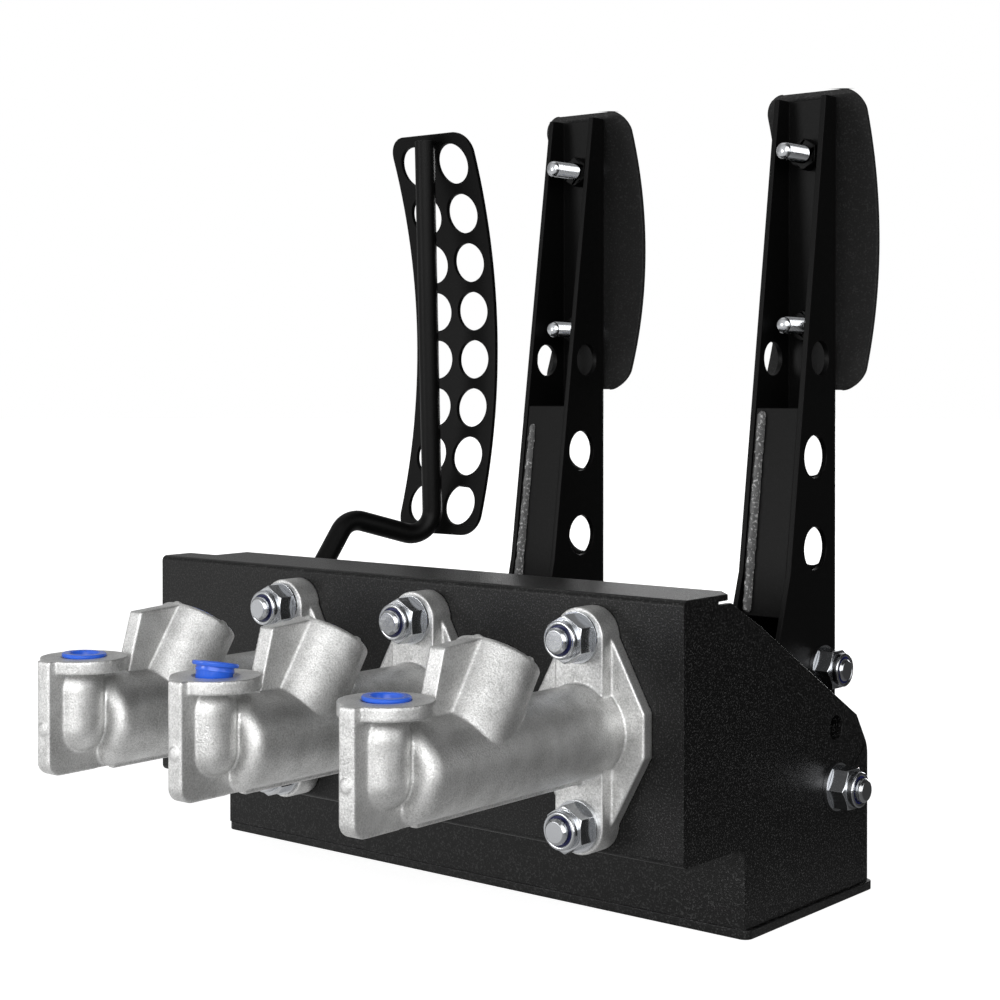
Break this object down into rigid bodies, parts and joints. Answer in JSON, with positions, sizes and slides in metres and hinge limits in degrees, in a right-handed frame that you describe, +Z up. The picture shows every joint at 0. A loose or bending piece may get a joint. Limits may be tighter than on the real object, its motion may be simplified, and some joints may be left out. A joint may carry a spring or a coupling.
{
  "type": "pedal box",
  "caption": "Floor-mounted pedal box: a folded black steel box with throttle, brake and clutch pedals that push three cast master cylinders through a balance bar and pushrods.",
  "frame": {"origin": "middle of the base plate's underside, on the floor", "axes": "+X to the driver's right, +Y towards the driver, +Z up from the floor; the cylinders stand out along -Y"},
  "size_m": [0.2523, 0.253, 0.277],
  "materials": {
    "black_powder_coat": "fine textured black powder coat",
    "raw_cast_alloy": "raw die-cast, fine grain",
    "zinc_plated_steel": "bright zinc plate",
    "machined_alloy": "machined",
    "bright_steel": "ground",
    "spring_steel": "spring wire",
    "blue_nylon": "moulded nylon",
    "blue_polythene": "moulded polythene",
    "black_rubber": "moulded rubber"
  },
  "bodies": {
    "box": {"front_panel": "black_powder_coat", "right_cheek": "black_powder_coat", "left_cheek": "black_powder_coat", "base_plate": "black_powder_coat", "pedal_dividers": "black_powder_coat", "port_plugs": "blue_polythene", "dust_boots": "black_rubber", "retaining_clips": "spring_steel", "flange_bolts": "zinc_plated_steel", "lock_nuts": "zinc_plated_steel", "nylon_inserts": "blue_nylon", "washers": "zinc_plated_steel", "pivot_bolt": "zinc_plated_steel", "pivot_spacers": "zinc_plated_steel", "front_brake_cylinder": "raw_cast_alloy", "rear_brake_cylinder": "raw_cast_alloy", "clutch_cylinder": "raw_cast_alloy", "front_brake_spring": "spring_steel", "rear_brake_spring": "spring_steel", "clutch_spring": "spring_steel"},
    "clutch_pedal": {"clutch_arm": "black_powder_coat", "clutch_hub": "black_powder_coat", "clutch_closing_plate": "black_powder_coat", "clutch_pad": "black_powder_coat", "clutch_pad_studs": "zinc_plated_steel", "clutch_pad_nuts": "zinc_plated_steel", "clutch_pad_spacers": "zinc_plated_steel", "clutch_clevis_bolt": "zinc_plated_steel", "clutch_clevis_washers": "zinc_plated_steel", "clutch_clevis_nut": "zinc_plated_steel", "clutch_nylon_insert": "blue_nylon"},
    "brake_pedal": {"brake_arm": "black_powder_coat", "brake_hub": "black_powder_coat", "brake_closing_plate": "black_powder_coat", "brake_pad": "black_powder_coat", "brake_pad_studs": "zinc_plated_steel", "brake_pad_nuts": "zinc_plated_steel", "brake_pad_spacers": "zinc_plated_steel", "balance_tube": "black_powder_coat"},
    "balance_bar": {"balance_bar": "bright_steel", "balance_bearing": "bright_steel"},
    "throttle_pedal": {"throttle_hub": "black_powder_coat", "throttle_lever": "black_powder_coat", "throttle_rod": "black_powder_coat", "throttle_pad": "black_powder_coat"},
    "clutch_rod": {"clutch_clevis": "machined_alloy", "clutch_pushrod": "bright_steel", "clutch_rod_nut": "zinc_plated_steel"},
    "clutch_plunger": {"clutch_piston": "machined_alloy", "clutch_seals": "black_rubber"},
    "front_brake_rod": {"front_brake_clevis": "machined_alloy", "front_brake_pushrod": "bright_steel", "front_brake_rod_nut": "zinc_plated_steel"},
    "front_brake_plunger": {"front_brake_piston": "machined_alloy", "front_brake_seals": "black_rubber"},
    "rear_brake_rod": {"rear_brake_clevis": "machined_alloy", "rear_brake_pushrod": "bright_steel", "rear_brake_rod_nut": "zinc_plated_steel"},
    "rear_brake_plunger": {"rear_brake_piston": "machined_alloy", "rear_brake_seals": "black_rubber"}
  },
  "joints": [
    {"name": "clutch_pivot", "type": "hinge", "parent": "box", "child": "clutch_pedal", "pos_m": [0.0844, 0.01525, 0.0389], "axis": [1, 0, 0], "range_deg": [0, 22], "stiffness_Nm_per_rad": 2, "springref_deg": -17.19},
    {"name": "brake_pivot", "type": "hinge", "parent": "box", "child": "brake_pedal", "pos_m": [-0.01325, 0.01525, 0.0389], "axis": [1, 0, 0], "range_deg": [0, 12], "stiffness_Nm_per_rad": 3, "springref_deg": -17.19},
    {"name": "throttle_pivot", "type": "hinge", "parent": "box", "child": "throttle_pedal", "pos_m": [-0.095, 0.01525, 0.0389], "axis": [1, 0, 0], "range_deg": [0, 25], "stiffness_Nm_per_rad": 0.8, "springref_deg": -22.92},
    {"name": "balance_bar_spin", "type": "hinge", "parent": "brake_pedal", "child": "balance_bar", "pos_m": [-0.01325, 0.03375, 0.071], "axis": [1, 0, 0], "continuous": true},
    {"name": "clutch_rod_swing", "type": "hinge", "parent": "clutch_pedal", "child": "clutch_rod", "pos_m": [0.0844, 0.04375, 0.073], "axis": [1, 0, 0], "range_deg": [-18.1, 0]},
    {"name": "clutch_piston_slide", "type": "slide", "parent": "box", "child": "clutch_plunger", "axis": [0, -1, 0], "range_m": [0, 0.01391], "deforming": ["clutch_spring"]},
    {"name": "front_brake_rod_swing", "type": "hinge", "parent": "brake_pedal", "child": "front_brake_rod", "pos_m": [-0.0433, 0.03375, 0.071], "axis": [1, 0, 0], "range_deg": [-10.44, 0]},
    {"name": "front_brake_piston_slide", "type": "slide", "parent": "box", "child": "front_brake_plunger", "axis": [0, -1, 0], "range_m": [0, 0.00668], "deforming": ["front_brake_spring"]},
    {"name": "rear_brake_rod_swing", "type": "hinge", "parent": "brake_pedal", "child": "rear_brake_rod", "pos_m": [0.0168, 0.03375, 0.071], "axis": [1, 0, 0], "range_deg": [-10.44, 0]},
    {"name": "rear_brake_piston_slide", "type": "slide", "parent": "box", "child": "rear_brake_plunger", "axis": [0, -1, 0], "range_m": [0, 0.00668], "deforming": ["rear_brake_spring"]}
  ],
  "couplings": [
    {"joint": "clutch_rod_swing", "follows": "clutch_pivot", "ratio": -0.8206},
    {"joint": "clutch_piston_slide", "follows": "clutch_pivot", "m_per_rad": 0.036099},
    {"joint": "front_brake_rod_swing", "follows": "brake_pivot", "ratio": -0.8655},
    {"joint": "front_brake_piston_slide", "follows": "brake_pivot", "m_per_rad": 0.031654},
    {"joint": "rear_brake_rod_swing", "follows": "brake_pivot", "ratio": -0.8655},
    {"joint": "rear_brake_piston_slide", "follows": "brake_pivot", "m_per_rad": 0.031654}
  ]
}
